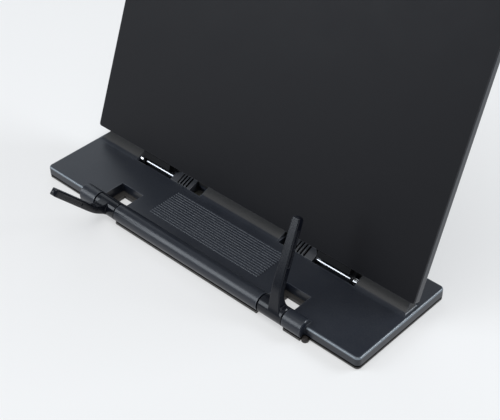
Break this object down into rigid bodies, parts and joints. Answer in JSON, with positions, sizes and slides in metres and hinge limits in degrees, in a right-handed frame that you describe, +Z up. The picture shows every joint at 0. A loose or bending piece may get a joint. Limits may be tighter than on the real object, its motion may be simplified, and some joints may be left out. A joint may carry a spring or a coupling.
{
  "type": "desk copy holder",
  "caption": "Desk copy holder: low ribbed base with swinging page arms, a leaning back board on latch pins and a wire prop behind it.",
  "frame": {"origin": "on the desk surface under the middle of the whole holder as it stands, on its left-right mid-plane", "axes": "+X to the reader's right, +Y away from the reader, +Z up"},
  "size_m": [0.317, 0.1993, 0.2315],
  "materials": {
    "base_shell": "dark blue-grey moulded plastic with a soft sheen",
    "under_shell": "warm dark grey plain moulding",
    "board_shell": "dark blue-grey moulded plastic with a soft sheen",
    "board_face": "near-black fine-grained matte sheet",
    "back_cover": "dark grey matte moulding",
    "arm": "dark blue-grey semi-gloss moulding",
    "latch": "dark blue-grey semi-gloss moulding",
    "bush_plastic": "natural low-friction plastic",
    "steel": "ground steel pin",
    "bush": "bright plated flanged bush",
    "spring_steel": "thin spring leaf",
    "washer": "thin friction washer",
    "prop_wire": "drawn steel wire",
    "sleeve": "soft black sleeve",
    "screw": "zinc-plated self-tapping screw",
    "rubber": "brown-grey soft rubber"
  },
  "bodies": {
    "base": {"base_top_cover": "base_shell", "base_bottom_shell": "under_shell", "base_screws": "screw", "base_pads": "rubber", "front_feet": "rubber", "right_arm_axle": "steel", "right_hub_washers": "washer", "right_hinge_bushing": "bush", "right_latch_keeper": "under_shell", "right_detent_spring": "spring_steel", "left_arm_axle": "steel", "left_hub_washers": "washer", "left_hinge_bushing": "bush", "left_latch_keeper": "under_shell", "left_detent_spring": "spring_steel"},
    "board": {"board_frame": "board_shell", "board_face_sheet": "board_face", "board_back_cover": "back_cover", "board_screws": "screw", "right_hinge_lug": "board_shell", "left_hinge_lug": "board_shell", "right_notch_ladder": "back_cover", "left_notch_ladder": "back_cover"},
    "right_arm": {"right_page_arm": "arm", "right_hub_bush": "bush_plastic"},
    "left_arm": {"left_page_arm": "arm", "left_hub_bush": "bush_plastic"},
    "right_latch": {"right_latch_slider": "latch", "right_hinge_pin": "steel"},
    "left_latch": {"left_latch_slider": "latch", "left_hinge_pin": "steel"},
    "prop": {"wire_prop": "prop_wire", "prop_sleeves": "sleeve"}
  },
  "joints": [
    {"name": "board_tilt", "type": "hinge", "parent": "base", "child": "board", "pos_m": [0, 0.0097, 0.0097], "axis": [1, 0, 0], "range_deg": [0, 38]},
    {"name": "right_arm_swing", "type": "hinge", "parent": "base", "child": "right_arm", "pos_m": [0.0844, -0.0472, 0.008], "axis": [1, 0, 0], "range_deg": [-35, 105]},
    {"name": "left_arm_swing", "type": "hinge", "parent": "base", "child": "left_arm", "pos_m": [-0.0844, -0.0472, 0.008], "axis": [1, 0, 0], "range_deg": [-107.7, 32.3]},
    {"name": "right_latch_slide", "type": "slide", "parent": "base", "child": "right_latch", "axis": [-1, 0, 0], "range_m": [0, 0.0096]},
    {"name": "left_latch_slide", "type": "slide", "parent": "base", "child": "left_latch", "axis": [1, 0, 0], "range_m": [0, 0.0096]},
    {"name": "prop_swing", "type": "hinge", "parent": "base", "child": "prop", "pos_m": [0, 0.0403, 0.0076], "axis": [1, 0, 0], "range_deg": [-80, 0]}
  ]
}
